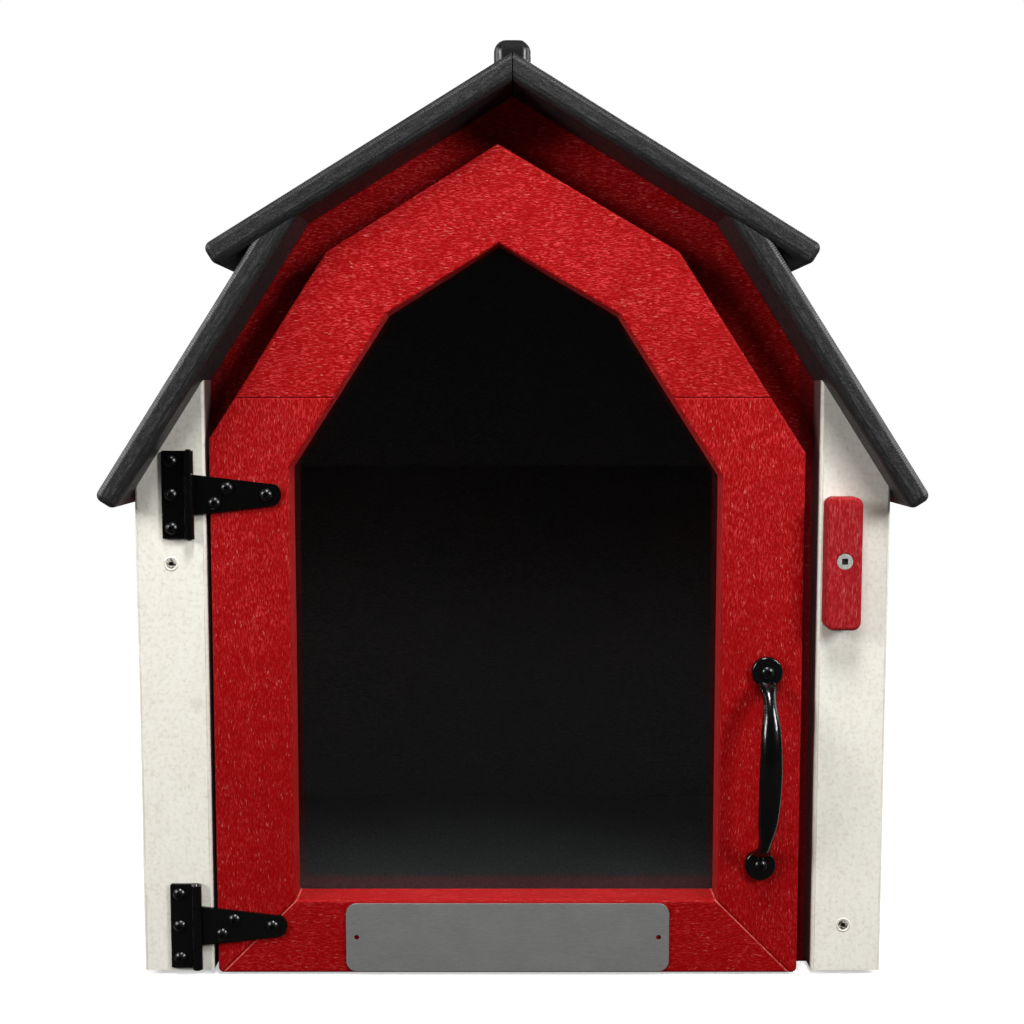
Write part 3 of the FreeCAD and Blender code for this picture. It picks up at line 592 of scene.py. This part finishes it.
def worn_screw(name, paint, bare, metallic=0.0, face=None):
    """Screw worn in patches, darker deeper in its drive if the place of its face is given."""
    look = Look(name)
    wear = look.noise(look.place, screw_wear_scale, 3.0, 0.65)
    grit = look.noise(look.place, screw_grit_scale, 2.0, 0.6)
    colour = look.mix(look.ramp(wear, 0.5, 0.58), paint, bare)
    if face is not None:
        sunk = look.number("SUBTRACT", look.axis(look.place, DEEP), face)
        colour = look.mix(look.ramp(sunk, *drive_dark_depths, 0.0, 0.95), colour, DRIVE_DARK)
    rough = look.ramp(grit, 0.3, 0.7, *screw_roughness)
    return look.finish(colour, rough, look.bump(grit, screw_relief), metallic=metallic)


def clear_pane():
    """Clear gloss sheet that lamps shine through."""
    look = Look("clear_pane")
    haze = look.noise(look.place, pane_haze_scale, 3.0, 0.6)
    wave = look.noise(look.place, pane_wave_scale, 1.0)
    rough = look.ramp(haze, 0.4, 0.8, *pane_roughness)
    relief = look.bump(wave, pane_relief)
    look.finish(PANE_CLEAR, rough, relief, transmission_weight=1.0, ior=pane_refraction)
    clear = look.node("BsdfTransparent", {"Color": PANE_CLEAR})
    look.add_shader(look.node("LightPath").outputs["Is Shadow Ray"], clear.outputs[0])
    return look.material


def points_of(node):
    """The places of a node's corners."""
    return [vertex.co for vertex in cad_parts[node].data.vertices]


def front_of(node):
    """How far forward a node reaches."""
    return min(point.y for point in points_of(node))


def rail_corners():
    """Where the window's lower corners stand across the door, and how high."""
    points = points_of("bottom_door_rail")
    top = max(point.z for point in points)
    edge = [point.x for point in points if point.z > top - level_tolerance]
    return min(edge), max(edge), top


def dress(look, *names):
    """Gives CAD nodes a material."""
    for name in names:
        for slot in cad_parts[name].material_slots:
            slot.material = look


def dress_box():
    """Materials of the box, the roof and the turn-button."""
    door_edge = max(point.x for point in points_of("right_door_stile"))
    dress(red_board("red_frame", ACROSS, gap_place=door_edge), "front_frame")
    dress(red_board("red_deep", DEEP), "left_side_wall", "right_side_wall")
    dress(red_board("button_red", UP, button_coarseness, BUTTON_COLOURS), "turn_button")
    dress(charcoal_board("charcoal_across", ACROSS), "back_panel")
    dress(charcoal_board("charcoal_deep", DEEP), "floor_panel")
    white = smooth_board("white_upright", UP, front_of("left_corner_post"))
    dress(white, "left_corner_post", "right_corner_post")
    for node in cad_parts:
        if node.endswith("_roof_plank"):
            dress(roof_plank(node, plank_wear_and_edge_shade[node.split("_")[0]]), node)
    dress(ridge_black(), "ridge_bar")
    charcoal_screw = worn_screw("charcoal_screw", CHARCOAL, CHARCOAL_FLECK)
    dress(charcoal_screw, "roof_screws", "ridge_bar_screws", "back_panel_screws")
    for node, name, plating, bare, metallic in (
        ("corner_post_screws", "post_steel", POST_STEEL, POST_STEEL_WORN, post_screw_metal),
        ("button_screw", "button_steel", STEEL, BUTTON_STEEL_WORN, button_screw_metal),
    ):
        dress(worn_screw(name, plating, bare, metallic, front_of(node)), node)


def dress_door():
    """Materials of the door and what it carries."""
    dress(red_board("red_arch", ACROSS), "door_arch")
    dress(red_board("red_rail", ACROSS, mitres=rail_corners()), "bottom_door_rail")
    dress(red_board("red_upright", UP), "left_door_stile", "right_door_stile")
    red_screw = worn_screw("red_screw", RED, RED_SHADE)
    dress(red_screw, "front_frame_screws", "floor_screws", "door_joint_screws")
    dress(worn_screw("bare_steel", STEEL, PANE_STEEL_WORN, pane_screw_metal), "pane_screws")
    dress(plate(), "name_plate")
    dress(clear_pane(), "door_pane")


def dress_fittings():
    """Black enamel of the hinges and the pull, duller on the screws."""
    black = enamel("black_enamel", enamel_roughness)
    dress(black, "upper_hinge_leaf", "lower_hinge_leaf", "upper_hinge_strap", "lower_hinge_strap")
    dress(black, "upper_hinge_pin", "lower_hinge_pin", "pull_handle")
    screw_black = enamel("screw_enamel", screw_enamel_roughness)
    dress(screw_black, "hinge_leaf_screws", "hinge_strap_screws", "pull_handle_screws")


def make_mesh(name, points, faces, look):
    """Mesh piece from points and faces, shaded smooth."""
    mesh = bpy.data.meshes.new(name)
    mesh.from_pydata(points, [], faces)
    mesh.materials.append(look)
    for polygon in mesh.polygons:
        polygon.use_smooth = True
    made = bpy.data.objects.new(name, mesh)
    bpy.context.scene.collection.objects.link(made)
    return made


def screw_head(node, side):
    """Centre of the face of a node's screw head on one side of the box, and its radius."""
    points = [point for point in points_of(node) if point.x * side > 0]
    low = Vector([min(values) for values in zip(*points)])
    high = Vector([max(values) for values in zip(*points)])
    centre = Vector(((low.x + high.x) / 2, low.y, (low.z + high.z) / 2))
    return centre, (high.x - low.x) / 2


def screw_lip(name, centre, head_radius, look):
    """Low ring of plastic pushed up round a screw head."""
    points = []
    for step in range(lip_segments):
        angle = 2 * math.pi * step / lip_segments
        for outward, upward in lip_section:
            radius = head_radius + lip_gap + lip_width * outward
            points.append((
                centre.x + radius * math.cos(angle),
                centre.y - lip_height * upward,
                centre.z + radius * math.sin(angle),
            ))
    count = len(lip_section)
    faces = []
    for step in range(lip_segments):
        here = step * count
        there = (step + 1) % lip_segments * count
        for row in range(count):
            after = (row + 1) % count
            faces.append((here + row, here + after, there + after, there + row))
    lip = make_mesh(name, points, faces, look)
    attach(lip, "box")


def post_screw_lips():
    """A lip round the screw in each corner post."""
    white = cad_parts["left_corner_post"].material_slots[0].material
    for name, side in (("left_post_screw_lip", -1), ("right_post_screw_lip", 1)):
        centre, radius = screw_head("corner_post_screws", side)
        screw_lip(name, centre, radius, white)


def studio_floor():
    """Pale round floor that keeps the shadow and fades into the white background."""
    bpy.ops.mesh.primitive_circle_add(
        vertices=floor_corners, radius=floor_radius, fill_type="NGON", location=(0, 0, -floor_drop)
    )
    floor = bpy.context.object
    floor.name = "studio_floor"
    look = Look("studio_floor_look")
    seen = look.seen(floor_seen_bounces)
    far = look.node("VectorMath", {0: look.place}, operation="LENGTH").outputs["Value"]
    pale = look.mix(look.noise(look.place, floor_mottle_scale), *FLOOR_PALE)
    dim = look.mix(look.node("LightPath").outputs["Is Glossy Ray"], FLOOR_DIM, FLOOR_MIRRORED)
    look.finish(look.mix(seen, dim, pale), floor_roughness, specular_ior_level=0.0)
    look.put(look.shader.inputs["Emission Color"], PURE_WHITE)
    look.put(look.shader.inputs["Emission Strength"], look.product(seen, floor_glow))
    white = look.node("Emission", {"Color": PURE_WHITE, "Strength": 1.0})
    look.add_shader(look.product(seen, look.ramp(far, *floor_fade)), white.outputs[0])
    floor.data.materials.append(look.material)


def studio_world():
    """White for what looks at it, dim for what it lights, and darker in front for what mirrors it."""
    world = bpy.data.worlds.new("studio_world")
    bpy.context.scene.world = world
    world.use_nodes = True
    sky = Nodes(world.node_tree)

    def background(strength):
        return sky.node("Background", {"Color": PURE_WHITE, "Strength": strength}).outputs[0]

    backward = sky.axis(sky.node("TexCoord").outputs["Generated"], DEEP)
    ahead, behind = world_gloss
    inputs = {"Value": backward, "From Min": 0.0, "From Max": 1.0, "To Min": ahead, "To Max": behind}
    mirrored = background(sky.node("MapRange", inputs).outputs[0])
    glossy = sky.node("LightPath").outputs["Is Glossy Ray"]
    unseen = sky.mixed_shader(glossy, background(world_fill), mirrored)
    choice = sky.mixed_shader(sky.seen(world_seen_bounces), unseen, background(1.0))
    sky.put(sky.tree.nodes["World Output"].inputs["Surface"], choice)


def softbox(name, place, size, power):
    """Area lamp that looks at the box."""
    lamp = bpy.data.lights.new(name, "AREA")
    lamp.shape = "RECTANGLE"
    lamp.size, lamp.size_y = size
    lamp.energy = power
    made = bpy.data.objects.new(name, lamp)
    made.location = place
    made.rotation_euler = (Vector(lamp_aim) - Vector(place)).to_track_quat("-Z", "Y").to_euler()
    bpy.context.scene.collection.objects.link(made)


def studio_lamps():
    """Softboxes at both front corners, one above in front, and lamps at the sides and behind."""
    for name, (place, size, power) in lamps.items():
        softbox(name, place, size, power)


def camera():
    """Camera where the photograph was taken from."""
    lens = bpy.data.cameras.new("camera")
    lens.sensor_width = sensor_width
    lens.lens = focal_pixels / image_pixels * sensor_width
    made = bpy.data.objects.new("camera", lens)
    made.location = camera_place
    made.rotation_euler = (math.radians(camera_pitch), 0, 0)
    bpy.context.scene.collection.objects.link(made)
    bpy.context.scene.camera = made


bpy.context.scene.view_settings.view_transform = "Standard"
dress_box()
dress_door()
dress_fittings()
post_screw_lips()
studio_floor()
studio_world()
studio_lamps()
camera()
